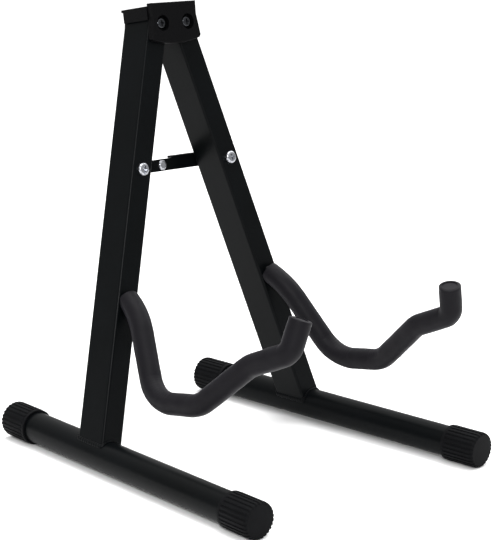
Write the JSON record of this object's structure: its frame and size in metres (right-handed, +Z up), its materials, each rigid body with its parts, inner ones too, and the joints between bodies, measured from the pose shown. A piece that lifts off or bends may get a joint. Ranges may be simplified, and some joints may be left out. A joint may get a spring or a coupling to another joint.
{
  "type": "folding guitar stand",
  "caption": "Folding A-frame stand with leaning tube legs on ribbed rubber feet, padded cradle arms and a scissor brace.",
  "frame": {"origin": "on the floor, at the centre of the stand's footprint", "axes": "+Z up, +X across the stand towards the right leg, -Y towards the cradle arms at the front"},
  "size_m": [0.2852, 0.3114, 0.3633],
  "materials": {
    "powder_coat": "satin black powder coat",
    "rubber": "matt moulded rubber",
    "foam": "closed-cell foam sleeve, soft matt",
    "plug": "matt end plug",
    "head_plastic": "fine moulded texture",
    "bright_zinc": "bright zinc plate",
    "rod_steel": "black powder coat",
    "bush_steel": "turned steel"
  },
  "bodies": {
    "head": {"head_cover": "head_plastic", "head_saddle": "head_plastic", "left_pivot_screw": "bright_zinc", "left_pivot_washer": "bright_zinc", "left_pivot_nut": "bright_zinc", "right_pivot_screw": "bright_zinc", "right_pivot_washer": "bright_zinc", "right_pivot_nut": "bright_zinc"},
    "left_leg": {"left_leg_tube": "powder_coat", "left_foot_tube": "powder_coat", "left_foot_weld": "powder_coat", "left_front_cap": "rubber", "left_back_cap": "rubber", "left_arm_rod": "rod_steel", "left_arm_foam": "foam", "left_arm_tip_plug": "plug", "left_pivot_bush": "bush_steel", "left_brace_bush": "bush_steel", "left_brace_screw": "bright_zinc", "left_brace_washer": "bright_zinc", "left_brace_nut": "bright_zinc"},
    "right_leg": {"right_leg_tube": "powder_coat", "right_foot_tube": "powder_coat", "right_foot_weld": "powder_coat", "right_front_cap": "rubber", "right_back_cap": "rubber", "right_arm_rod": "rod_steel", "right_arm_foam": "foam", "right_arm_tip_plug": "plug", "right_pivot_bush": "bush_steel", "right_brace_bush": "bush_steel", "right_brace_screw": "bright_zinc", "right_brace_washer": "bright_zinc", "right_brace_nut": "bright_zinc", "brace_spacer": "bright_zinc"},
    "left_link": {"left_brace_link": "powder_coat", "brace_rivet": "bright_zinc"},
    "right_link": {"right_brace_link": "powder_coat", "brace_rivet_tail": "bright_zinc"}
  },
  "joints": [
    {"name": "left_leg_fold", "type": "hinge", "parent": "head", "child": "left_leg", "pos_m": [-0.01375, 0.10566, 0.34279], "axis": [0, -0.9799, 0.1994], "range_deg": [0, 16.75]},
    {"name": "right_leg_fold", "type": "hinge", "parent": "head", "child": "right_leg", "pos_m": [0.01375, 0.10566, 0.34279], "axis": [0, -0.9799, 0.1994], "range_deg": [-16.75, 0]},
    {"name": "left_link_fold", "type": "hinge", "parent": "left_leg", "child": "left_link", "pos_m": [-0.04898, 0.09787, 0.22678], "axis": [0, -0.9799, 0.1994], "range_deg": [0, 56.32]},
    {"name": "right_link_fold", "type": "hinge", "parent": "right_leg", "child": "right_link", "pos_m": [0.04898, 0.09787, 0.22678], "axis": [0, -0.9799, 0.1994], "range_deg": [-56.32, 0]}
  ],
  "couplings": [
    {"joint": "right_leg_fold", "follows": "left_leg_fold", "ratio": -1},
    {"joint": "left_link_fold", "follows": "left_leg_fold", "ratio": 3.362},
    {"joint": "right_link_fold", "follows": "left_leg_fold", "ratio": -3.362}
  ]
}
